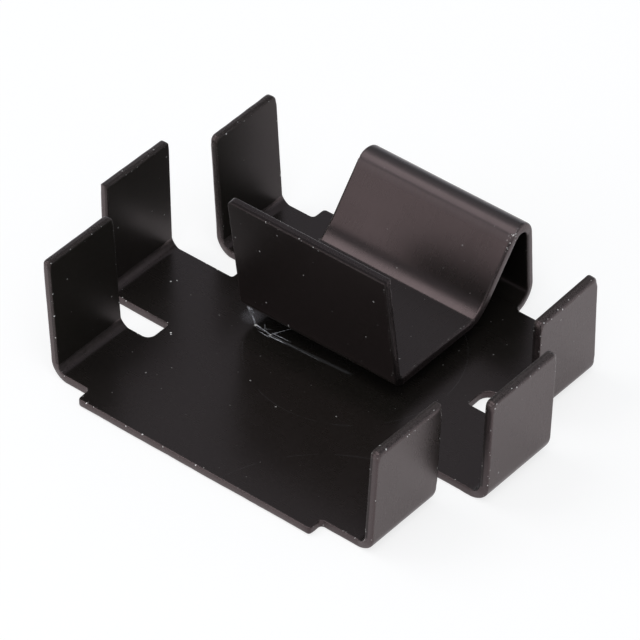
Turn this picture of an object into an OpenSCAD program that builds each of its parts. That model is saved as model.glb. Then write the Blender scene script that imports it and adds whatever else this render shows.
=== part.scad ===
// Clip-on heat sink for a small power transistor, stamped and folded from one sheet.
// A flat plate carries six cooling fingers, three bent up along each side, and the
// middle pair stands further out than the corner ones. A tongue left at the back edge
// is folded over the plate as a spring clip: root bend, leg, crest, slant, foot, lip.
// Frame: origin on the underside at the middle of the plate, X across the two rows of
// fingers, Y from the open front to the clip root, Z up. Lengths in mm, angles in degrees.

/* [Sheet] */
// Thickness of the sheet
sheet_t = 0.5; // [0.4:0.05:0.7]
// Inner radius of the bends that raise the fingers
finger_bend_r = 0.5; // [0.3:0.05:0.8]
// Radius left by the stamping tool in the tight corners of the blank
tool_r = 0.2; // [0.1:0.05:0.3]

/* [Plate] */
// Width over the outer faces of the two middle fingers
body_w = 25.4; // [24:0.1:30]
// Width over the outer faces of the corner fingers
corner_w = 21; // [20:0.1:21.6]
// Length of the plate from front edge to back edge
body_l = 19.5; // [18:0.1:24]
// Width of the plate core, which is the width of its front and back edge tabs
core_w = 15.2; // [13:0.1:16]
// How far the edge tabs project past the corner fingers
tab_l = 0.9; // [0.4:0.1:1.4]
// How far outside the line of the tabs the slots stop, on each side
slot_step = 0.22; // [0:0.02:0.4]
// How far the blank sat to the left in the folding tool, so the left fingers come out taller
blank_shift = 0.35; // [0:0.05:0.6]

/* [Fingers] */
// Mean height of the fingers over the underside
finger_h = 7; // [5:0.1:12]
// Gap between neighbouring fingers
slot_w = 1.5; // [1.2:0.05:2.4]
// Width of each middle finger
middle_l = 4.95; // [4:0.05:5.6]
// Outward lean of the corner fingers from upright
corner_lean = 3; // [0:0.5:6]
// Outward lean of the middle fingers from upright
middle_lean = 1; // [0:0.5:6]
// Radius on the top corners of the fingers
finger_corner_r = 0.25; // [0.1:0.05:1]
// Radius at the inner end of each slot, on the corner finger side
slot_corner_r = 0.45; // [0.2:0.05:0.7]

/* [Spring clip] */
// Width of the clip
clip_w = 10.2; // [8:0.1:11]
// Free gap between the foot and the plate, which takes the tab of the transistor
clip_gap = 1; // [0.6:0.05:1.6]
// Height of the crest over the underside
crest_h = 5.7; // [5:0.05:8]
// Height of the lip over the underside
lip_h = 9.05; // [6:0.05:12]
// Length of the flat foot
foot_l = 5.4; // [4.5:0.1:6.5]
// Flat length of the tongue behind the plate, before its first bend
root_l = 0.25; // [0.2:0.05:1]
// Inner radius of the bend at the root
root_r = 0.8; // [0.5:0.05:1]
// Forward lean of the back leg from upright
leg_lean = 3.3; // [0:0.1:6]
// Inner radius of the bend at the crest
crest_r = 0.45; // [0.25:0.05:0.6]
// Steepness of the slant between crest and foot
slant_a = 48.5; // [42:0.5:56]
// Inner radius of the crease between slant and foot
crease_r = 0.8; // [0.4:0.05:1.2]
// Inner radius of the bend between foot and lip
lip_bend_r = 0.15; // [0.1:0.05:0.5]
// Forward lean of the lip from upright
lip_lean = 7.2; // [0:0.2:12]
// Radius on the two top corners of the lip
lip_corner_r = 0.2; // [0.1:0.05:1.5]

/* [Hidden] */
$fn = 48;

black = [0.05, 0.05, 0.055];
right_angle = 90;
// Spare angle on a bend before its end is cut square, and spare width on a strip before
// its sides are trimmed, so that runs and bends share one clean face
spare_a = 5;
spare_w = 0.1;
// Side offset that lets a corner arc cross the trimmed side instead of grazing it
arc_offset = 0.005;
// Larger than the part in every direction
reach = 60;

// Plate: half its width where the slots stop
slot_x = core_w / 2 + slot_step;

// Fingers: the middle one lies on the X axis, the corner ones a slot away from it
corner_l = body_l / 2 - tab_l - slot_w - middle_l / 2;
corner_y = middle_l / 2 + slot_w + corner_l / 2;
finger_bend_out = finger_bend_r + sheet_t;

// Clip: angles and straight lengths that bring crest, foot and lip to their heights
strip_w = clip_w + spare_w;
foot_top = 2 * sheet_t + clip_gap;
crest_out = crest_r + sheet_t;
root_out = root_r + sheet_t;
lip_out = lip_bend_r + sheet_t;
root_a = right_angle + leg_lean;
crest_a = right_angle - leg_lean + slant_a;
lip_a = right_angle - lip_lean;
leg_l = (crest_h - crest_out + crest_out * sin(leg_lean)
    - root_out * (1 + sin(leg_lean))) / cos(leg_lean);
slant_l = (crest_h - crest_out * (1 - cos(slant_a)) - foot_top
    - crease_r * (1 - cos(slant_a))) / sin(slant_a);
lip_l = (lip_h - foot_top - lip_bend_r + lip_out * sin(lip_lean)) / cos(lip_lean);

// Flat run of sheet along +Y from the origin, with what follows placed at its end
module flat_run(w, l) {
    translate([-w / 2, 0, 0])
        cube([w, l, sheet_t]);
    translate([0, l, 0])
        children();
}

// Sector of sheet around the X axis, from straight down towards +Y through angle a. It is
// drawn a little too long and cut square in the frame of what follows, so the two meet.
module bend_sector(w, r, a) {
    difference() {
        rotate([0, right_angle, 0])
            rotate_extrude(angle = a + spare_a)
                translate([r, -w / 2])
                    square([sheet_t, w]);
        rotate([a, 0, 0])
            translate([-w, 0, -2 * (r + sheet_t)])
                cube([2 * w, r + sheet_t, 2 * (r + sheet_t)]);
    }
}

// Bend towards the upper face, inner radius r, through angle a
module bend_up(w, r, a) {
    translate([0, 0, sheet_t + r]) {
        bend_sector(w, r, a);
        rotate([a, 0, 0])
            translate([0, 0, -sheet_t - r])
                children();
    }
}

// Bend towards the lower face, inner radius r, through angle a
module bend_down(w, r, a) {
    translate([0, 0, -r]) {
        mirror([0, 0, 1])
            bend_sector(w, r, a);
        rotate([-a, 0, 0])
            translate([0, 0, r])
                children();
    }
}

// Last run of a strip, with both end corners rounded to radius r for the final width w
module rounded_end(w, l, r) {
    arc_x = w / 2 - r + arc_offset;
    linear_extrude(sheet_t) {
        translate([-w / 2 - spare_w, 0])
            square([w + 2 * spare_w, l - r]);
        translate([-arc_x, l - r])
            square([2 * arc_x, r]);
        for (side = [-1, 1])
            translate([side * arc_x, l - r])
                circle(r);
    }
}

// A folded strip trimmed to its width
module trimmed(w) {
    intersection() {
        children();
        translate([-w / 2, -reach, -reach])
            cube([w, 2 * reach, 2 * reach]);
    }
}

// Concave fillet that fills an inside corner at the origin, in the +X +Y quadrant
module inside_fillet(r) {
    linear_extrude(sheet_t)
        difference() {
            square([r, r]);
            translate([r, r])
                circle(r);
        }
}

// Core of the plate between the slots, with rounded corners on its front and back tabs
module plate_core() {
    translate([-blank_shift, 0, 0]) {
        translate([-core_w / 2, tool_r - body_l / 2, 0])
            cube([core_w, body_l - 2 * tool_r, sheet_t]);
        translate([tool_r - core_w / 2, -body_l / 2, 0])
            cube([core_w - 2 * tool_r, body_l, sheet_t]);
        translate([-slot_x, tab_l - body_l / 2, 0])
            cube([2 * slot_x, body_l - 2 * tab_l, sheet_t]);
        for (x = [-1, 1])
            for (y = [-1, 1])
                translate([x * (core_w / 2 - tool_r), y * (body_l / 2 - tool_r), 0])
                    cylinder(h = sheet_t, r = tool_r);
    }
}

// Small radii of the blank where the tabs step back and where the slots end
module blank_fillets() {
    for (x = [0, 1])
        for (y = [0, 1])
            translate([-blank_shift, 0, 0])
                mirror([x, 0, 0])
                    mirror([0, y, 0])
                        union() {
                            translate([core_w / 2, body_l / 2 - tab_l, 0])
                                inside_fillet(tool_r);
                            translate([slot_x, middle_l / 2 + slot_w, 0])
                                mirror([0, 1, 0])
                                    inside_fillet(slot_corner_r);
                        }
}

// One finger: its flat arm from the core, the bend and the upright blade
module finger(side, y, w, over, lean, h) {
    a = right_angle - lean;
    blade_l = (h - finger_bend_out * (1 - cos(a))) / sin(a);
    bend_x = over / 2 - finger_bend_out * sin(a) + finger_bend_out * (1 - cos(a)) * tan(lean);
    arm_x = core_w / 2 - side * blank_shift - tool_r;
    translate([side * arm_x, y, 0])
        rotate([0, 0, -side * right_angle])
            trimmed(w)
                flat_run(w + spare_w, bend_x - arm_x)
                    bend_up(w + spare_w, finger_bend_r, a)
                        rounded_end(w, blade_l, finger_corner_r);
}

// The six fingers in two staggered rows
module fingers() {
    for (side = [-1, 1]) {
        h = finger_h - side * blank_shift;
        finger(side, 0, middle_l, body_w, middle_lean, h);
        for (end = [-1, 1])
            finger(side, end * corner_y, corner_l, corner_w, corner_lean, h);
    }
}

// Spring clip: the tongue of the back edge, folded bend by bend to its lip
module spring_clip() {
    translate([-blank_shift, body_l / 2, 0]) {
        for (x = [0, 1])
            mirror([x, 0, 0])
                translate([clip_w / 2, 0, 0])
                    inside_fillet(min(root_l, 2 * tool_r));
        trimmed(clip_w)
            flat_run(strip_w, root_l)
                bend_up(strip_w, root_r, root_a)
                    flat_run(strip_w, leg_l)
                        bend_up(strip_w, crest_r, crest_a)
                            flat_run(strip_w, slant_l)
                                bend_down(strip_w, crease_r, slant_a)
                                    flat_run(strip_w, foot_l)
                                        bend_down(strip_w, lip_bend_r, lip_a)
                                            rounded_end(clip_w, lip_l, lip_corner_r);
    }
}

module heat_sink() {
    color(black)
        union() {
            plate_core();
            blank_fillets();
            fingers();
            spring_clip();
        }
}

heat_sink();
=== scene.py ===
"""Looks of the clip-on transistor heat sink: one folded sheet, black anodised, on a pale floor.

The sheet is made as a flat blank with sheared and rolled edges, cut into a grid, and folded point
by point. On the blank u runs to the right, v to the back and w up through the sheet, in mm.
"""
import math
from collections import namedtuple

import bmesh
import bpy
from mathutils import Matrix, Vector, noise


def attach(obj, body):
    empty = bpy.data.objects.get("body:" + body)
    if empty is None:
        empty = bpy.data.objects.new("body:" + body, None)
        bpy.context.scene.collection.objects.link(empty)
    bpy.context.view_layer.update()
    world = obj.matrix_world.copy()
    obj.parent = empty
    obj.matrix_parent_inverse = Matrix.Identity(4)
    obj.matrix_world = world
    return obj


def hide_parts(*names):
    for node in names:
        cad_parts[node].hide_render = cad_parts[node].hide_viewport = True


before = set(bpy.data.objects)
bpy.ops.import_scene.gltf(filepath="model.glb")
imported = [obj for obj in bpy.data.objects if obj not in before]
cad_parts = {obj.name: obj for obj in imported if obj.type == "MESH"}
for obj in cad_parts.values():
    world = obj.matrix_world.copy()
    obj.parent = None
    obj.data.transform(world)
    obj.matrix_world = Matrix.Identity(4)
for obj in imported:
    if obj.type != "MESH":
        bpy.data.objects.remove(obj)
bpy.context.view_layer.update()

MM = 0.001
RIGHT_ANGLE = math.radians(90)

# ---------------------------------------------------------------- sizes in mm, as in the part
SHEET = 0.5
TOOL_R = 0.2
BODY_L = 19.5
CORE_W = 15.2
TAB_L = 0.9
BLANK_SHIFT = 0.35
SLOT_W = 1.5
MIDDLE_L = 4.95
CLIP_W = 10.2
CLIP_GAP = 1.0
ROOT_L = 0.25
ROOT_R = 0.8
LIP_H = 9.05
LIP_BEND_R = 0.15
LIP_LEAN = math.radians(7.2)

# Sizes of the clip as pressed, which differ a little from the part's
CREST_H = 5.74
FOOT_L = 5.58
LEG_LEAN = math.radians(2.9)
# The crest and the crease, each as turns of the sheet: inner radius, and how steeply the slant
# falls towards the front, in degrees, when that turn ends
CREST_TURNS = [(0.45, 26.0), (1.0, 34.0), (0.25, 50.5)]
CREASE_TURNS = [(2.7, 27.0), (0.3, 0.0)]

# What follows from them: the corner fingers' width and place, and the sides of the core and the
# clip, which lie off centre because the blank did in the folding tool
CORNER_L = BODY_L / 2 - TAB_L - SLOT_W - MIDDLE_L / 2
CORNER_V = MIDDLE_L / 2 + SLOT_W + CORNER_L / 2
CORE_RIGHT = CORE_W / 2 - BLANK_SHIFT
CORE_LEFT = -CORE_W / 2 - BLANK_SHIFT
CLIP_RIGHT = CLIP_W / 2 - BLANK_SHIFT
CLIP_LEFT = -CLIP_W / 2 - BLANK_SHIFT
BACK = BODY_L / 2

# Each finger as pressed: side, its place in the row from front to back, width of the part over
# its outer face, inner radius of its bend, height at its middle, rise of its top edge from front
# to back, lean in degrees, twist in degrees per mm of width, radii of its front and back top
# corners, and how far its front and back edges stray: at the blade's foot, then at its top
FINGERS = [
    (-1, -1, 21.0, 0.50, 7.38, 0.04, 3.0, 0.08, 0.22, 0.26, (0.04, 0.00, 0.10, 0.00)),
    (-1, 0, 25.4, 0.50, 7.28, -0.10, 0.5, -0.10, 0.03, 0.18, (0.10, 0.04, 0.14, 0.08)),
    (-1, 1, 21.0, 0.50, 7.44, 0.10, 3.0, 0.12, 0.35, 0.38, (0.08, 0.00, 0.14, -0.05)),
    (1, -1, 21.0, 0.50, 6.65, 0.00, 2.9, -0.10, 0.30, 0.06, (-0.05, 0.14, 0.06, 0.09)),
    (1, 0, 25.2, 0.60, 6.55, -0.05, 1.0, 0.12, 0.28, 0.30, (0.00, 0.15, 0.15, 0.38)),
    (1, 1, 21.1, 0.32, 6.68, 0.24, 2.8, -0.05, 0.22, 0.38, (0.07, 0.03, -0.08, -0.38)),
]
# Where the slots end, counted outwards, and the radius there on the corner finger's side. The keys
# are the side, and -1 in front of the middle finger or 1 behind it
SLOT_END = {(-1, -1): (8.17, 0.45), (-1, 1): (8.10, 0.45),
            (1, -1): (7.45, 0.45), (1, 1): (7.47, 0.62)}
# Radii of the slots' other corners, of the fillets at the clip's root, and of the lip's corners
SHARP_R = 0.12
ROOT_FILLET = 0.4
LIP_LEFT_R, LIP_RIGHT_R = 0.28, 0.07

Finger = namedtuple("Finger", "side place v v0 v1 w start a bend_r arc blade tip twist rise "
                              "corners stray")
Link = namedtuple("Link", "kind r size start length y z head")
RimPoint = namedtuple("RimPoint", "at out both turn r")


def pressed_finger(side, place, over, r, h, rise, lean_deg, twist, r_front, r_back, stray):
    """A finger's strip on the blank, where and how it bends, and the length of its blade."""
    lean = math.radians(lean_deg)
    a = RIGHT_ANGLE - lean
    out = r + SHEET
    blade = (h - out * (1 - math.cos(a))) / math.sin(a)
    start = over / 2 - out * math.sin(a) + out * (1 - math.cos(a)) * math.tan(lean)
    arc = (r + SHEET / 2) * a
    w = CORNER_L if place else MIDDLE_L
    v = place * CORNER_V
    return Finger(side, place, v, v - w / 2, v + w / 2, w, start, a, r, arc, blade,
                  start + arc + blade, math.radians(twist), rise / w, (r_front, r_back), stray)


fingers = [pressed_finger(*row) for row in FINGERS]


def finger_at(u, v, margin):
    """The finger whose strip, widened by margin, holds the line along u at this v."""
    side = 1 if u > 0 else -1
    for f in fingers:
        if f.side == side and abs(v - f.v) < f.w / 2 + margin:
            return f
    return None


def clip_chain():
    """The clip from the back edge on, as runs and bends: kind, inner radius, length or angle."""
    root_out = ROOT_R + SHEET
    crest_out = CREST_TURNS[0][0] + SHEET
    lip_out = LIP_BEND_R + SHEET
    foot_top = 2 * SHEET + CLIP_GAP
    leg = (CREST_H - crest_out + crest_out * math.sin(LEG_LEAN)
           - root_out * (1 + math.sin(LEG_LEAN))) / math.cos(LEG_LEAN)
    crest, crease = [], []
    fall, drop = 0.0, CREST_H - foot_top
    for r, end in CREST_TURNS:
        end = math.radians(end)
        drop -= (r + SHEET) * (math.cos(fall) - math.cos(end))
        crest.append(("up", r, end - fall if crest else RIGHT_ANGLE - LEG_LEAN + end))
        fall = end
    steepest = fall
    for r, end in CREASE_TURNS:
        end = math.radians(end)
        drop -= r * (math.cos(end) - math.cos(fall))
        crease.append(("down", r, fall - end))
        fall = end
    lip = (LIP_H - foot_top - LIP_BEND_R + lip_out * math.sin(LIP_LEAN)) / math.cos(LIP_LEAN)
    return ([("run", 0, ROOT_L), ("up", ROOT_R, RIGHT_ANGLE + LEG_LEAN), ("run", 0, leg)] + crest
            + [("run", 0, drop / math.sin(steepest))] + crease
            + [("run", 0, FOOT_L), ("down", LIP_BEND_R, RIGHT_ANGLE - LIP_LEAN), ("run", 0, lip)])


def bend_centre(kind, r, y, z, head):
    """Which way a bend turns, the radius of its lower side, and the centre it turns about."""
    turn = 1 if kind == "up" else -1
    rad = r + SHEET if kind == "up" else r
    return turn, rad, y - math.sin(head) * rad * turn, z + math.cos(head) * rad * turn


def chain_links():
    """The links of the clip, each with its start along the sheet, length, place and heading."""
    chain = []
    s, y, z, head = 0.0, BACK, 0.0, 0.0
    for kind, r, size in clip_chain():
        length = size if kind == "run" else (r + SHEET / 2) * size
        chain.append(Link(kind, r, size, s, length, y, z, head))
        if kind == "run":
            y += math.cos(head) * size
            z += math.sin(head) * size
        else:
            turn, rad, cy, cz = bend_centre(kind, r, y, z, head)
            head += turn * size
            y = cy + math.sin(head) * rad * turn
            z = cz - math.cos(head) * rad * turn
        s += length
    return chain


links = chain_links()
# Places along the clip: the top of its leg, the back of the flattened crest, the middle of the
# turn into the slant, the bend up into the lip, the start of the lip, and its end
LEG_END_V = BACK + links[3].start
CREST_V = BACK + links[4].start
CREST_TURN_V = BACK + links[5].start + links[5].length / 2
LIP_BEND_V = BACK + links[-2].start
LIP_V = BACK + links[-1].start
CLIP_END_V = LIP_V + links[-1].length


# ---------------------------------------------------------------- the flat blank
# Longest stretch between two points of the outline, and the length of a step round its radii
OUTLINE_STEP = 0.3
OUTLINE_ARC = 0.05

# Section of a crisply sheared edge: how far in from the outline, height in the sheet, how worn
# the surface is there, which also places painted glints, and how far it belongs to the sheared
# wall
EDGE = [(0.240, 0.0, 0.0, 0), (0.110, 0.0, 0.35, 0), (0.062, 0.001, 0.75, 0),
        (0.036, 0.005, 0.9, 0.1), (0.017, 0.017, 1.0, 0.6), (0.005, 0.036, 0.7, 1),
        (0.0, 0.062, 0.4, 1), (0.0, 0.18, 0.1, 1), (0.0, 0.32, 0.1, 1), (0.001, 0.438, 0.4, 1),
        (0.006, 0.466, 0.7, 1), (0.018, 0.484, 1.0, 0.6), (0.036, 0.495, 0.9, 0.1),
        (0.062, 0.499, 0.75, 0), (0.110, 0.5, 0.35, 0), (0.240, 0.5, 0.0, 0)]
# The lower half of the section where the tool has rolled that side in fully: inset and height
ROLLED = [(0.42, 0.0), (0.31, 0.0), (0.235, 0.002), (0.165, 0.016), (0.100, 0.047),
          (0.046, 0.092), (0.012, 0.145), (0.0, 0.22)]
# How far the lower and the upper side of the sheet are rolled in, 0 to 1: at each finger's tip,
# along the sides of the blades, and along the rest of the outline
TIP_ROLL = {(-1, -1): (0.6, 0.5), (-1, 0): (0.5, 0.3), (-1, 1): (0.7, 0.5),
            (1, -1): (1.0, 0.1), (1, 0): (0.75, 0.1), (1, 1): (1.1, 0.1)}
BLADE_ROLL = {-1: (0.3, 0.0), 1: (0.12, 0.0)}
PLATE_ROLL = {-1: (0.2, 0.0), 1: (0.45, 0.0)}
FRONT_ROLL = (0.75, 0.15)
CLIP_ROLL = (0.45, 0.1)
LIP_ROLL = (0.15, 0.0)
# Lengths of those zones at the tips, at the front and at the lip's end, and how far out on the
# blank the sides of the blades begin
TIP_ZONE = 0.45
FRONT_ZONE = 0.4
LIP_ZONE = 0.6
BLADE_U = 11
# How deep the outline waves, and how deep the sheared wall is torn
WAVE_DEPTH = 0.008
TEAR_DEPTH = 0.007

# How far beside a strip a point still belongs to it: to a finger's, on the outline and when
# folded, and to the clip's
RIM_MARGIN = 0.3
FOLD_MARGIN = 0.5
CLIP_MARGIN = 0.6


def noise_at(u, v, scale, level):
    """Smooth noise over the blank, about -1 to 1."""
    return noise.noise(Vector((u * scale, v * scale, level)))


def side_corners(side):
    """Corners of one side of the blank from front to back, each with its radius."""
    core = (CORE_RIGHT if side > 0 else -CORE_LEFT, TOOL_R)
    front, back = SLOT_END[side, -1], SLOT_END[side, 1]
    feet = {-1: (core, front), 0: ((front[0], SHARP_R), (back[0], SHARP_R)), 1: (back, core)}
    line = []
    for f in fingers:
        if f.side == side:
            (u0, r0), (u1, r1) = feet[f.place]
            line += [(side * u0, f.v0, r0), (side * f.tip, f.v0, f.corners[0]),
                     (side * f.tip, f.v1, f.corners[1]), (side * u1, f.v1, r1)]
    return line


def blank_corners():
    """Corners of the blank, counter-clockwise from the front left, each with its radius."""
    front = [(CORE_LEFT, -BACK, TOOL_R), (CORE_RIGHT, -BACK, TOOL_R)]
    back = [(CORE_RIGHT, BACK, TOOL_R), (CLIP_RIGHT, BACK, ROOT_FILLET),
            (CLIP_RIGHT, CLIP_END_V, LIP_RIGHT_R), (CLIP_LEFT, CLIP_END_V, LIP_LEFT_R),
            (CLIP_LEFT, BACK, ROOT_FILLET), (CORE_LEFT, BACK, TOOL_R)]
    return front + side_corners(1) + back + side_corners(-1)[::-1]


def outline():
    """Points of the outline: a place, the way out, the ways out of both sides that meet there,
    which way it turns, and the radius. On a radius the place is the sharp corner."""
    corners = blank_corners()
    pts = []
    for i, (u, v, r) in enumerate(corners):
        following = corners[(i + 1) % len(corners)]
        before, here, after = Vector(corners[i - 1][:2]), Vector((u, v)), Vector(following[:2])
        d0 = (here - before).normalized()
        d1 = (after - here).normalized()
        turn = 1 if d0.x * d1.y - d0.y * d1.x > 0 else -1
        out0 = Vector((d0.y, -d0.x))
        out1 = Vector((d1.y, -d1.x))
        n = max(3, round(r / OUTLINE_ARC))
        for k in range(n + 1):
            rotation = Matrix.Rotation(turn * RIGHT_ANGLE * k / n, 2)
            pts.append(RimPoint(here, rotation @ out0, out0 + out1, turn, r))
        start = here + d1 * r
        run = (after - d1 * following[2] - start).length
        n = max(1, round(run / OUTLINE_STEP))
        for k in range(1, n):
            pts.append(RimPoint(start + d1 * run * k / n, out1, out1, 0, 0.0))
    return pts


def inset_point(point, inset):
    """The outline point moved in by inset. An outer corner sharper than that stays mitred."""
    here, out, both, turn, r = point
    if turn == 0:
        return here - out * inset
    if turn > 0:
        left = max(0.0, r - inset)
        return here - both * (inset + left) + out * left
    return here + both * r - out * (r + inset)


def roll_at(u, v):
    """How far the lower and the upper side are rolled in along the outline, 0 to 1."""
    side = 1 if u > 0 else -1
    if v > BACK:
        return LIP_ROLL if v > CLIP_END_V - LIP_ZONE else CLIP_ROLL
    if v < FRONT_ZONE - BACK:
        return FRONT_ROLL
    f = finger_at(u, v, RIM_MARGIN)
    if f and side * u > f.tip - TIP_ZONE:
        return TIP_ROLL[side, f.place]
    return (BLADE_ROLL if abs(u) > BLADE_U else PLATE_ROLL)[side]


def build_blank():
    """The flat blank as a closed mesh: rings round its edge, joined, and one face on each side."""
    bm = bmesh.new()
    rim = bm.verts.layers.float.new("rim")
    shear = bm.verts.layers.float.new("shear")
    pts = outline()
    rings = []
    for k, (inset, w, worn, wall) in enumerate(EDGE):
        is_upper = k >= len(ROLLED)
        inset_rolled, w_rolled = ROLLED[len(EDGE) - 1 - k if is_upper else k]
        if is_upper:
            w_rolled = SHEET - w_rolled
        ring = []
        for point in pts:
            u, v = point.at
            roll = roll_at(u, v)[is_upper] * (0.85 + 0.3 * noise_at(u, v, 1.7, 9.3))
            wave = WAVE_DEPTH * (0.5 + 0.5 * noise_at(u, v, 1.3, 3.1))
            tear = TEAR_DEPTH * (0.5 + 0.5 * noise_at(u, v, 5, w * 9)) * wall
            q = inset_point(point, inset + (inset_rolled - inset) * roll + wave + tear)
            vert = bm.verts.new((q.x, q.y, w + (w_rolled - w) * roll))
            vert[rim] = worn
            vert[shear] = wall
            ring.append(vert)
        rings.append(ring)
    for lower, upper in zip(rings, rings[1:]):
        for i in range(len(pts)):
            j = (i + 1) % len(pts)
            bm.faces.new((lower[i], lower[j], upper[j], upper[i]))
    bm.faces.new(rings[0][::-1])
    bm.faces.new(rings[-1])
    # Mitred corners have gathered several points in one place
    bmesh.ops.remove_doubles(bm, verts=bm.verts[:], dist=MERGE)
    bm.normal_update()
    return bm


# ---------------------------------------------------------------- the grid
# Distance between cuts: across the plate both ways, along straight strips, round a finger's
# bend, and round the clip's bends as an angle
PLATE_V_STEP = 0.48
PLATE_U_STEP = 0.475
RUN_STEP = 0.45
FINGER_BEND_STEP = 0.075
CLIP_BEND_STEP = math.radians(6.5)
# Cuts in a finger's strip reach this far beside it. Points this near to a cut are moved onto it,
# and points this near to each other are made one
CUT_SPARE = 0.1
CUT_SNAP = 0.004
MERGE = 0.0005


def stations(start, end, step):
    """Even places from start to end, about step apart."""
    n = max(1, round((end - start) / step))
    return [start + (end - start) * k / n for k in range(n + 1)]


def cut(bm, axis, at, lo=-math.inf, hi=math.inf):
    """Cut each face that crosses the plane axis = at and reaches into lo..hi on the other axis."""
    faces = []
    for f in bm.faces:
        across = [v.co[axis] for v in f.verts]
        if min(across) < at < max(across):
            beside = [v.co[1 - axis] for v in f.verts]
            if max(beside) >= lo and min(beside) <= hi:
                faces.append(f)
    if not faces:
        return
    edges = dict.fromkeys(e for f in faces for e in f.edges)
    normal = Vector((0, 0, 0))
    normal[axis] = 1
    bmesh.ops.bisect_plane(bm, geom=faces + list(edges), dist=CUT_SNAP,
                           plane_co=normal * at, plane_no=normal)


def cut_grid(bm):
    """Cut the blank where it has to bend, and into a grid of short faces everywhere."""
    for v in stations(-BACK, BACK, PLATE_V_STEP):
        cut(bm, 1, v)
    for u in stations(CORE_LEFT, CORE_RIGHT, PLATE_U_STEP):
        cut(bm, 0, u)
    for f in fingers:
        bend_end = f.start + f.arc
        cuts = stations(CORE_RIGHT if f.side > 0 else -CORE_LEFT, f.start, RUN_STEP)
        cuts += stations(f.start, bend_end, FINGER_BEND_STEP)
        cuts += stations(bend_end, f.tip, RUN_STEP)
        for u in cuts:
            cut(bm, 0, f.side * u, f.v0 - CUT_SPARE, f.v1 + CUT_SPARE)
    for link in links:
        step = RUN_STEP if link.kind == "run" else (link.r + SHEET / 2) * CLIP_BEND_STEP
        for v in stations(BACK + link.start, BACK + link.start + link.length, step):
            cut(bm, 1, v)


# ---------------------------------------------------------------- folding
# The squeezed inner side of a bend swells sideways and the stretched outer side pulls in: how far
# in from the strip's side this starts, and by how much the side moves
FINGER_SWELL = (0.7, 0.045)
CLIP_SWELL = (0.8, 0.04)
# Bends with a larger inner radius swell less
TIGHT_R = 0.6
# Half of the height by which the sheet bows
BOW = 0.012


def swollen(off, half, swell, share):
    """How far a point moves sideways. off is its place from the middle of a strip, half is half
    the strip's width, and share is how strongly the bend squeezes the sheet there."""
    reach, amount = swell
    near = max(0.0, 1 - (half - abs(off)) / reach)
    return math.copysign(1, off) * near * near * amount * share


def fold_finger(f, u, v, w):
    """Place of a point of a finger's strip. u is measured outwards."""
    s = u - f.start
    if s <= 0:
        return Vector((f.side * u, v, w))
    off = v - f.v
    t = min(1.0, s / f.arc)
    a = f.a + f.twist * off * t
    rho = f.bend_r + SHEET - w
    x = f.start + rho * math.sin(a * t)
    z = SHEET + f.bend_r - rho * math.cos(a * t)
    if s > f.arc:
        up = (s - f.arc) * (1 + f.rise * off / f.blade)
        x += up * math.cos(a)
        z += up * math.sin(a)
    else:
        v += swollen(off, f.w / 2, FINGER_SWELL, math.sin(math.pi * t) * (2 * w / SHEET - 1))
    # The press has skewed each blade a little
    front, back, top_front, top_back = f.stray
    up = max(0.0, (s - f.arc) / f.blade)
    front += (top_front - front) * up
    back += (top_back - back) * up
    v += t * (front + (back - front) * (0.5 + off / f.w))
    return Vector((f.side * x, v, z))


def fold_clip(u, v, w):
    """Place of a point of the clip."""
    s = v - BACK
    link = next((k for k in links if s <= k.start + k.length), links[-1])
    kind, r, size, start, length, y, z, head = link
    d = s - start
    if kind == "run":
        return Vector((u, y + math.cos(head) * d - math.sin(head) * w,
                       z + math.sin(head) * d + math.cos(head) * w))
    turn, rad, cy, cz = bend_centre(kind, r, y, z, head)
    phi = head + turn * size * d / length
    rho = rad - w * turn
    share = math.sin(math.pi * d / length) * min(1.0, TIGHT_R / r) * (2 * w / SHEET - 1) * turn
    u += swollen(u + BLANK_SHIFT, CLIP_W / 2, CLIP_SWELL, share)
    return Vector((u, cy + math.sin(phi) * rho * turn, cz - math.cos(phi) * rho * turn))


def fold(co):
    """Place of a point of the blank once the sheet is folded."""
    u, v, w = co
    w += BOW * (1 + noise_at(u, v, 0.2, 7.7))
    if v > BACK and abs(u + BLANK_SHIFT) < CLIP_W / 2 + CLIP_MARGIN:
        return fold_clip(u, v, w)
    f = finger_at(u, v, FOLD_MARGIN)
    return fold_finger(f, abs(u), v, w) if f else Vector((u, v, w))


# ---------------------------------------------------------------- the folded sheet
# The films: name, strength of the gloss, and what is added to the roughness
FILMS = [("black_anodised", 0.5, 0.0),
         ("black_anodised_dull", 0.2, 0.06),
         ("black_anodised_bend", 0.05, 0.02)]
# The dull one lies on the upper side of the blades, the lip and the leg, and the last one on the
# bend up into the lip
DULL_FILM = 1
BEND_FILM = 2
# How near to a cut a point counts as lying on it, loosely and strictly, and how far a finger's
# end reaches, where its walls are paler
NEAR = 0.01
EXACT = 0.001
END_ZONE = 0.4


def grain_at(u, v):
    """Coordinates across the grain and along it, and how far through a finger's bend, 0 to 1."""
    if v > BACK:
        return u, v, 0.0
    f = finger_at(u, v, RIM_MARGIN)
    return v, u, max(0.0, min(1.0, (abs(u) - f.start) / f.arc)) if f else 0.0


def tag_points(mesh, flat):
    """Store where each point lies on the blank. Returns how far it is through a finger's bend."""
    lay, blank, bend, ends = [], [], [], []
    for co in flat:
        across, along, bent = grain_at(co.x, co.y)
        f = finger_at(co.x, co.y, RIM_MARGIN)
        lay += [across, along, co.z]
        blank += list(co)
        bend.append(bent)
        ends.append(float(f is not None and f.side * co.x > f.tip - END_ZONE))
    for name, kind, key, values in (("lay", "FLOAT_VECTOR", "vector", lay),
                                    ("blank", "FLOAT_VECTOR", "vector", blank),
                                    ("bend", "FLOAT", "value", bend),
                                    ("ends", "FLOAT", "value", ends)):
        mesh.attributes.new(name, kind, "POINT").data.foreach_set(key, values)
    return bend


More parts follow.
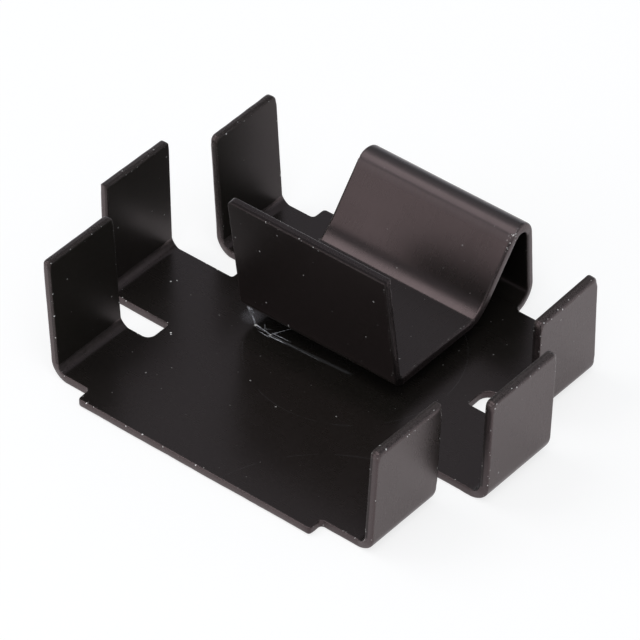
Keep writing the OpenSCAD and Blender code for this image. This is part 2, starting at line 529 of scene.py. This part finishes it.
def assign_films(mesh, flat, bend):
    """Choose each face's film by where it lies on the blank."""
    for p in mesh.polygons:
        p.use_smooth = True
        v = [flat[i].y for i in p.vertices]
        on_lip = min(v) > LIP_V - EXACT
        on_leg = min(v) > BACK and max(v) < LEG_END_V + NEAR
        on_blade = min(bend[i] for i in p.vertices) > 1 - EXACT
        is_upper = min(flat[i].z for i in p.vertices) > SHEET / 2
        if min(v) > LIP_BEND_V - NEAR and max(v) < LIP_V + NEAR:
            p.material_index = BEND_FILM
        elif is_upper and (on_lip or on_leg or on_blade):
            p.material_index = DULL_FILM


def build_sheet():
    """The folded sheet as one object."""
    bm = build_blank()
    cut_grid(bm)
    bmesh.ops.triangulate(bm, faces=[f for f in bm.faces if len(f.verts) > 4])
    flat = [v.co.copy() for v in bm.verts]
    for v in bm.verts:
        v.co = fold(v.co) * MM
    bm.normal_update()
    mesh = bpy.data.meshes.new("folded_sheet")
    bm.to_mesh(mesh)
    bm.free()
    assign_films(mesh, flat, tag_points(mesh, flat))
    obj = bpy.data.objects.new("folded_sheet", mesh)
    bpy.context.collection.objects.link(obj)
    return obj


# ---------------------------------------------------------------- the film, marks and painted light
# Colours: dyed film and sheared wall from their darkest to their palest, then the marks
FILM = ((0.0088, 0.0078, 0.0064, 1), (0.0116, 0.0102, 0.0088, 1))
WALL = ((0.010, 0.0082, 0.0076, 1), (0.038, 0.032, 0.029, 1))
# Painted highlight of the finger bends, on film that the tool's nose rubs
RUBBED_HIGHLIT = (0.034, 0.029, 0.027, 1)
# Painted highlight of the crest, on its crazing film
CRAZED_HIGHLIT = (0.055, 0.046, 0.046, 1)
WORN = (0.095, 0.085, 0.080, 1)
SCRATCHED = (0.60, 0.61, 0.65, 1)
DOTTED = (0.42, 0.41, 0.40, 1)
# Pale dots: painted glints, and single crumbs of bare metal
BARE_AND_GLINT = (0.75, 0.74, 0.72, 1)
# Gloss of the film, and strength and depth in m of its relief
FILM_IOR = 1.68
GLOSS_TINT = (1.0, 0.76, 0.78, 1)
RELIEF = 0.3
RELIEF_DEPTH = 0.00001

# Scratches on the plate in front of the clip: from, to, width, strength
SCRATCHES = [((-5.95, 1.2), (-5.3, 0.78), 0.10, 1), ((-5.75, 1.2), (-5.2, 0.86), 0.04, 1),
             ((-5.5, 0.95), (-4.65, 0.28), 0.06, 1), ((-4.8, 0.36), (-3.55, 0.2), 0.045, 1),
             ((-4.35, 0.62), (-4.1, 0.35), 0.05, 1), ((-4.1, 0.38), (-3.75, 0.62), 0.035, 1),
             ((-3.65, 0.15), (-3.05, 1.30), 0.035, 1), ((-3.6, 0.36), (-2.45, 0.42), 0.028, 1),
             ((-3.7, 0.08), (-2.5, 0.16), 0.035, 1), ((-4.3, 0.05), (-3.5, 0.0), 0.025, 1),
             ((-4.7, 0.2), (-0.2, 0.24), 0.040, 0.16)]
# A matt patch beside them and a faint wide streak after them
SCUFF_AT = (-5.25, 0.75, SHEET)
STREAK = ((-2.6, 0.2), (1.6, 0.45), 0.13, 0.05)
# Faint circular scratches on the plate: centre, radius, width
CIRCLES = [((9.5, -11.5), 8.25, 0.030), ((0.5, 2.0), 5.75, 0.025)]
# Single crumbs of bare metal: where on the blank, and how large
CRUMBS = [((-10.3, 0.17, SHEET), 0.06), ((-10.1, 0.43, SHEET), 0.04),
          ((-7.64, -2.9, SHEET), 0.07), ((-7.55, -3.0, SHEET), 0.05),
          ((-4.68, 0.31, SHEET), 0.10), ((-3.6, 0.2, SHEET), 0.06),
          ((0.8 * fingers[2].blade - fingers[2].tip, fingers[2].v1, 0.45), 0.16)]
# Where painted glints gather at the end of the crest, which bears scrapes
SCRAPED_GLINTS_AT = (CLIP_RIGHT, CREST_V + 0.55, 0.0)


class Tree:
    """Small helper that adds nodes and links by name."""

    def __init__(self, material):
        material.use_nodes = True
        self.nodes = material.node_tree.nodes
        self.links = material.node_tree.links
        self.nodes.clear()

    def add(self, kind, inputs=None, **props):
        node = self.nodes.new(kind)
        for key, value in props.items():
            setattr(node, key, value)
        for key, value in (inputs or {}).items():
            self.set(node, key, value)
        return node

    def set(self, node, key, value):
        socket = node.inputs[key]
        if isinstance(value, bpy.types.NodeSocket):
            self.links.new(value, socket)
        else:
            socket.default_value = value

    def attribute(self, name, output="Fac"):
        return self.add("ShaderNodeAttribute", attribute_name=name).outputs[output]

    def math(self, op, a, b=0.0):
        return self.add("ShaderNodeMath", {0: a, 1: b}, operation=op).outputs[0]

    def chained(self, op, values):
        """The values joined one after the other by the same operation."""
        result = values[0]
        for value in values[1:]:
            result = self.math(op, result, value)
        return result

    def total(self, *values):
        return self.chained("ADD", values)

    def product(self, *values):
        return self.chained("MULTIPLY", values)

    def greatest(self, *values):
        return self.chained("MAXIMUM", values)

    def apart(self, a, b):
        """How far two values lie apart."""
        return self.math("ABSOLUTE", self.math("SUBTRACT", a, b))

    def ramp(self, value, lo, hi, out_lo=0.0, out_hi=1.0):
        """A smooth step from out_lo, where value is lo, to out_hi, where it is hi."""
        node = self.add("ShaderNodeMapRange", {"Value": value, "From Min": lo, "From Max": hi,
                        "To Min": out_lo, "To Max": out_hi}, interpolation_type="SMOOTHSTEP")
        return node.outputs["Result"]

    def noise(self, vector, scale, detail=2.0, rough=0.5, w=0.0):
        node = self.add("ShaderNodeTexNoise", {"Vector": vector, "Scale": scale, "Detail": detail,
                        "Roughness": rough, "W": w}, noise_dimensions="4D")
        return node.outputs["Fac"]

    def stretched(self, vector, factors):
        return self.add("ShaderNodeVectorMath", {0: vector, 1: factors},
                        operation="MULTIPLY").outputs[0]

    def scaled(self, vector, factor):
        return self.add("ShaderNodeVectorMath", {0: vector, "Scale": factor},
                        operation="SCALE").outputs[0]

    def distance(self, vector, point):
        return self.add("ShaderNodeVectorMath", {0: vector, 1: point},
                        operation="DISTANCE").outputs["Value"]

    def mix(self, factor, a, b):
        node = self.add("ShaderNodeMix", {0: factor}, data_type="RGBA")
        self.set(node, 6, a)
        self.set(node, 7, b)
        return node.outputs[2]


class Surface:
    """Sockets that all marks are made from: where a point lies on the blank, and noises there."""

    def __init__(self, t):
        self.blank = t.attribute("blank", "Vector")
        self.u, self.v, self.w = t.add("ShaderNodeSeparateXYZ", {0: self.blank}).outputs
        self.upper = t.math("GREATER_THAN", self.w, SHEET * 0.9)
        self.lower = t.math("LESS_THAN", self.w, SHEET * 0.1)
        self.shear = t.attribute("shear")
        self.rim = t.attribute("rim")
        self.bend = t.attribute("bend")
        self.ends = t.attribute("ends")
        self.cloud = t.noise(self.blank, 0.55, 3.0, 0.55)
        self.mottle = t.noise(self.blank, 4.0, 4.0, 0.6, 2.0)
        self.granular = t.noise(self.blank, 15.0, 3.0, 0.7, 8.0)
        self.crumb = t.noise(self.blank, 34.0, 2.0, 0.6, 6.0)
        lay = t.attribute("lay", "Vector")
        self.grain = t.noise(t.stretched(lay, (7.0, 0.22, 7.0)), 1.0, 3.0, 0.6, 1.0)
        self.fine = t.noise(t.stretched(lay, (22.0, 0.9, 22.0)), 1.0, 2.0, 0.5, 3.0)


def segment(t, s, a, b, width, strength):
    """Mask of a straight scratch on the plate from a to b."""
    du, dv = b[0] - a[0], b[1] - a[1]
    length = math.hypot(du, dv)
    du, dv = du / length, dv / length
    pu, pv = t.math("SUBTRACT", s.u, a[0]), t.math("SUBTRACT", s.v, a[1])
    along = t.total(t.product(pu, du), t.product(pv, dv))
    off = t.apart(t.product(pu, dv), t.product(pv, du))
    return t.product(t.ramp(off, width, width * 0.35), t.ramp(along, -0.1, 0.2),
                     t.ramp(along, length + 0.1, length - 0.4), strength)


def circle(t, s, centre, radius, width):
    """Mask of a thin circular scratch on the plate."""
    far = t.distance(s.blank, (centre[0], centre[1], SHEET))
    return t.ramp(t.apart(far, radius), width, width * 0.3)


def specks(t, s, scale, size, share):
    """Mask of small dots: cells per mm, a dot's largest radius in cells, and how many have one."""
    cell = t.add("ShaderNodeTexVoronoi", {"Vector": s.blank, "Scale": scale}, feature="F1")
    pick = t.add("ShaderNodeSeparateColor", {0: cell.outputs["Color"]})
    radius = t.ramp(pick.outputs[1], 0.0, 1.0, size * 0.4, size)
    dot = t.math("LESS_THAN", cell.outputs["Distance"], radius)
    return t.product(dot, t.math("LESS_THAN", pick.outputs[0], share))


def film_with_painted_shade(t, s):
    """Warm black film, a little uneven, paler and more granular on the sheared walls, with
    painted shade and painted light by place.
    """
    # Painted shade darkens the walls on the right fingers and on the far end of the clip; the
    # fingers' ends stay paler, most on the right
    bright = t.product(t.ramp(s.u, 6.0, 7.5, 1.1, 0.2),
                       t.ramp(s.v, CREST_V + 4, CREST_V + 6, 1.0, 0.35))
    bright = t.total(bright, t.product(s.ends, t.ramp(s.u, 0.0, 1.0, 0.2, 1.6)))
    wall = t.scaled(t.mix(t.ramp(s.granular, 0.40, 0.70), *WALL), bright)
    # Painted shade darkens the faces on the lip, and painted light makes them paler on the blades
    bright = t.product(t.ramp(s.v, LIP_V - 0.1, LIP_V + 0.1, 1.0, 0.5),
                       t.ramp(s.bend, 0.8, 1.0, 1.0, 1.4))
    face = t.scaled(t.mix(t.ramp(s.mottle, 0.3, 0.75), *FILM), bright)
    return t.mix(t.product(s.shear, 0.9), face, wall)


def rubbed_highlit_band(t, s):
    """A ragged band along the inside of the finger bends, where the tool's nose rubs the film,
    painted lighter as the bend's highlight.
    """
    low = t.total(t.ramp(s.v, 2.0, 6.0, -0.12, 0.23),
                  t.product(s.granular, 0.35), t.product(s.mottle, 0.65))
    return t.product(t.math("GREATER_THAN", s.bend, low), t.math("LESS_THAN", s.bend, 0.97),
                     s.upper)


def crazed_highlit_crest(t, s):
    """Where the crest turns sharply into the slant, its outer side is painted lighter as the
    crest's highlight, on film that crazes there.
    """
    return t.product(t.ramp(t.apart(s.v, CREST_TURN_V - 0.1), 0.65, 0.2), s.lower)


def worn_rims(t, s):
    """Wear has broken the film along the rims."""
    return t.product(t.ramp(s.rim, 0.25, 1.0), t.ramp(s.crumb, 0.52, 0.62),
                     t.ramp(s.cloud, 0.35, 0.65, 0.35, 1.0))


def scratches(t, s):
    """Marks on the plate where transistors were slid in, and faint circles."""
    hair = t.noise(t.stretched(s.blank, (2.6, 7.5, 7.5)), 1.0, 4.0, 0.75, 11.0)
    scuff = t.product(t.ramp(t.distance(s.blank, SCUFF_AT), 0.8, 0.15),
                      t.ramp(s.crumb, 0.46, 0.60, 0.0, 0.30))
    lines = t.product(t.greatest(*(segment(t, s, *row) for row in SCRATCHES)),
                      t.ramp(hair, 0.42, 0.54, 0.12, 1.0))
    circles = t.product(t.greatest(*(circle(t, s, *row) for row in CIRCLES)),
                        t.ramp(s.cloud, 0.42, 0.62, 0.0, 0.035))
    return t.product(t.greatest(scuff, segment(t, s, *STREAK), lines, circles), s.upper)


def face_dots(t, s):
    """A few small dots on the faces, with fine dust between them."""
    return t.greatest(t.product(specks(t, s, 1.35, 0.075, 0.30), 0.65),
                      t.product(specks(t, s, 2.3, 0.075, 0.32), 0.22))


def bare_crumbs_and_glints(t, s):
    """Pale dots: painted glints off the burr, many along the rims and at the end of the crest that
    bears scrapes, and single crumbs of bare metal.
    """
    glint_zone = t.greatest(t.math("LESS_THAN", s.v, BACK),
                         t.math("GREATER_THAN", s.v, CLIP_END_V - 0.5))
    rims = t.product(specks(t, s, 6.5, 0.32, 0.36), t.ramp(s.rim, 0.25, 0.6),
                     t.ramp(s.mottle, 0.44, 0.56), t.ramp(glint_zone, 0.0, 1.0, 0.15, 1.0))
    scraped_glints = t.product(specks(t, s, 9.0, 0.42, 0.6),
                        t.ramp(t.distance(s.blank, SCRAPED_GLINTS_AT), 0.65, 0.25),
                        t.ramp(s.u, CLIP_RIGHT - 0.34, CLIP_RIGHT - 0.16))
    single = [t.ramp(t.distance(s.blank, at), size, size * 0.5) for at, size in CRUMBS]
    return t.greatest(rims, scraped_glints, *single)


def anodised(name, specular, dull):
    """Black anodised film over the drawn grain of the sheet, with its wear, painted shade,
    painted highlights and painted glints. specular is the strength of its gloss, and dull is added
    to its roughness."""
    mat = bpy.data.materials.new(name)
    t = Tree(mat)
    s = Surface(t)
    rubbed_highlit, crazed_highlit, worn = rubbed_highlit_band(t, s), crazed_highlit_crest(t, s), worn_rims(t, s)
    marks, dots = scratches(t, s), face_dots(t, s)
    streaks = t.product(t.ramp(s.granular, 0.25, 0.7, 0.15, 1.0),
                        t.ramp(s.mottle, 0.38, 0.60, 0.5, 1.3))

    colour = film_with_painted_shade(t, s)
    # Painted highlights along the finger bends and the crest, and painted glints in the pale dots
    for mask, tint in ((t.product(rubbed_highlit, streaks), RUBBED_HIGHLIT),
                       (t.product(crazed_highlit, t.ramp(s.fine, 0.2, 0.8, 0.6, 1.0)), CRAZED_HIGHLIT),
                       (t.product(worn, 0.75), WORN),
                       (marks, SCRATCHED),
                       (dots, DOTTED),
                       (bare_crumbs_and_glints(t, s), BARE_AND_GLINT)):
        colour = t.mix(mask, colour, tint)

    rough = t.total(t.ramp(s.cloud, 0.25, 0.8, 0.25 + dull, 0.30 + dull),
                    t.ramp(s.grain, 0.35, 0.8, -0.008, 0.012),
                    t.product(s.shear, t.ramp(s.granular, 0.4, 0.7, 0.0, 0.14)),
                    t.product(crazed_highlit, 0.10), t.product(rubbed_highlit, 0.10),
                    t.product(t.total(marks, dots), 0.25))

    torn = t.product(t.greatest(s.shear, t.product(s.rim, 0.4)), s.granular)
    height = t.total(t.product(s.grain, 0.03), t.product(s.fine, 0.02),
                     t.product(torn, 3.0), t.product(worn, 0.8))
    bump = t.add("ShaderNodeBump", {"Height": height, "Strength": RELIEF,
                                    "Distance": RELIEF_DEPTH})

    bsdf = t.add("ShaderNodeBsdfPrincipled", {
        "Base Color": colour, "Roughness": rough, "Normal": bump.outputs[0]})
    bsdf.inputs["IOR"].default_value = FILM_IOR
    bsdf.inputs["Specular IOR Level"].default_value = specular
    bsdf.inputs["Specular Tint"].default_value = GLOSS_TINT
    out = t.add("ShaderNodeOutputMaterial")
    t.links.new(bsdf.outputs[0], out.inputs["Surface"])
    return mat


# ---------------------------------------------------------------- floor, light, camera
# Floor: radius and drop below the part in m, its grey in plain bounces of light, then how the
# camera and gloss see it, each as the share of light it returns and its own glow, and the tint
# that it has in gloss
FLOOR_R = 1.5
FLOOR_DROP = 0.00002
FLOOR_GREY = 0.8
FLOOR_SEEN = (0.30, 0.76)
FLOOR_IN_GLOSS = (0.85, 0.34)
FLOOR_GLOSS_TINT = (1.0, 0.965, 0.965, 1)
# Soft lights: name, direction, distance and size in m, how bright the face looks, colour
PANELS = [("upper_left", (-0.487, -0.170, 0.857), 0.6, (0.28, 0.28), 2.3, (1, 1, 1)),
          ("front_left", (-0.487, -0.80, 0.35), 0.8, (0.9, 0.38), 1.20, (1.0, 0.95, 0.94)),
          ("overhead", (0.30, -0.35, 0.89), 0.7, (0.5, 0.5), 2.3, (1, 1, 1))]
# Colour of the studio's walls
STUDIO = (0.88, 0.95, 1.03, 1)
# Camera as measured: azimuth, elevation and roll in degrees, then in mm how high on the part's
# axis it aims, the offset of that aim to the right and up, and the distance. The focal length and
# the width of the picture are in pixels, and the sensor in mm
CAMERA_TURN = (39.8220, 40.5340, -0.2388)
CAMERA_AIM_Z = 3
CAMERA_OFFSET = (-0.1128, 0.4545)
CAMERA_DISTANCE = 273.322
CAMERA_FOCUS = 5427.0
PICTURE_W = 640
SENSOR_W = 36


def floor_material():
    """Pale floor. The camera sees it near white with a light shadow, and gloss sees the same
    floor with its full shadow."""
    mat = bpy.data.materials.new("pale_floor")
    t = Tree(mat)
    path = t.add("ShaderNodeLightPath")

    def lit(share, glow, tint=(1, 1, 1, 1)):
        soft = t.add("ShaderNodeBsdfDiffuse", {"Color": [share * c for c in tint]})
        shine = t.add("ShaderNodeEmission", {"Color": tint, "Strength": glow})
        both = t.add("ShaderNodeAddShader")
        t.links.new(soft.outputs[0], both.inputs[0])
        t.links.new(shine.outputs[0], both.inputs[1])
        return both.outputs[0]

    def choose(factor, otherwise, then):
        pick = t.add("ShaderNodeMixShader", {0: factor})
        t.links.new(otherwise, pick.inputs[1])
        t.links.new(then, pick.inputs[2])
        return pick.outputs[0]

    plain = t.add("ShaderNodeBsdfDiffuse", {"Color": (FLOOR_GREY, FLOOR_GREY, FLOOR_GREY, 1)})
    gloss = t.greatest(path.outputs["Is Glossy Ray"], path.outputs["Is Transmission Ray"])
    shader = choose(gloss, plain.outputs[0], lit(*FLOOR_IN_GLOSS, FLOOR_GLOSS_TINT))
    shader = choose(path.outputs["Is Camera Ray"], shader, lit(*FLOOR_SEEN))
    out = t.add("ShaderNodeOutputMaterial")
    t.links.new(shader, out.inputs["Surface"])
    return mat


def add_floor():
    """Round floor just under the part."""
    bm = bmesh.new()
    bmesh.ops.create_circle(bm, cap_ends=True, radius=FLOOR_R, segments=64)
    mesh = bpy.data.meshes.new("floor")
    bm.to_mesh(mesh)
    bm.free()
    obj = bpy.data.objects.new("floor", mesh)
    obj.location = (0, 0, -FLOOR_DROP)
    bpy.context.collection.objects.link(obj)
    mesh.materials.append(floor_material())


def add_panel(name, direction, distance, size, radiance, colour):
    """Soft light aimed at the object."""
    data = bpy.data.lights.new(name, "AREA")
    data.shape = "RECTANGLE"
    data.size, data.size_y = size
    data.color = colour
    data.energy = radiance * math.pi * size[0] * size[1]
    obj = bpy.data.objects.new(name, data)
    way = Vector(direction).normalized()
    obj.location = way * distance
    obj.rotation_euler = way.to_track_quat("Z", "Y").to_euler()
    bpy.context.collection.objects.link(obj)


def add_world():
    """Even studio walls, paler where the floor's sweep rises at the horizon."""
    world = bpy.data.worlds.new("studio")
    t = Tree(world)
    way = t.add("ShaderNodeTexCoord").outputs["Generated"]
    height = t.add("ShaderNodeSeparateXYZ", {0: way}).outputs[2]
    level = t.ramp(height, 0.12, 0.50, 0.80, 0.31)
    back = t.add("ShaderNodeBackground", {"Color": STUDIO, "Strength": level})
    t.links.new(back.outputs[0], t.add("ShaderNodeOutputWorld").inputs["Surface"])
    bpy.context.scene.world = world


def add_camera():
    """Camera placed by its measured turn, aim and distance."""
    az, el, roll = map(math.radians, CAMERA_TURN)
    back = Vector((math.sin(az) * math.cos(el), -math.cos(az) * math.cos(el), math.sin(el)))
    level = (-back).cross(Vector((0, 0, 1))).normalized()
    upright = level.cross(-back)
    right = level * math.cos(roll) + upright * math.sin(roll)
    up = -level * math.sin(roll) + upright * math.cos(roll)
    target = Vector((0, 0, CAMERA_AIM_Z)) + right * CAMERA_OFFSET[0] + up * CAMERA_OFFSET[1]
    data = bpy.data.cameras.new("camera")
    data.sensor_width = SENSOR_W
    data.lens = CAMERA_FOCUS / PICTURE_W * SENSOR_W
    data.clip_start = 0.01
    obj = bpy.data.objects.new("camera", data)
    matrix = Matrix((right, up, back)).transposed().to_4x4()
    matrix.translation = (target + back * CAMERA_DISTANCE) * MM
    obj.matrix_world = matrix
    bpy.context.collection.objects.link(obj)
    bpy.context.scene.camera = obj


sheet = build_sheet()
for film in FILMS:
    sheet.data.materials.append(anodised(*film))
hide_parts("heat_sink")
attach(sheet, "root")

add_floor()
for panel in PANELS:
    add_panel(*panel)
add_world()
add_camera()
bpy.context.scene.view_settings.view_transform = "Standard"
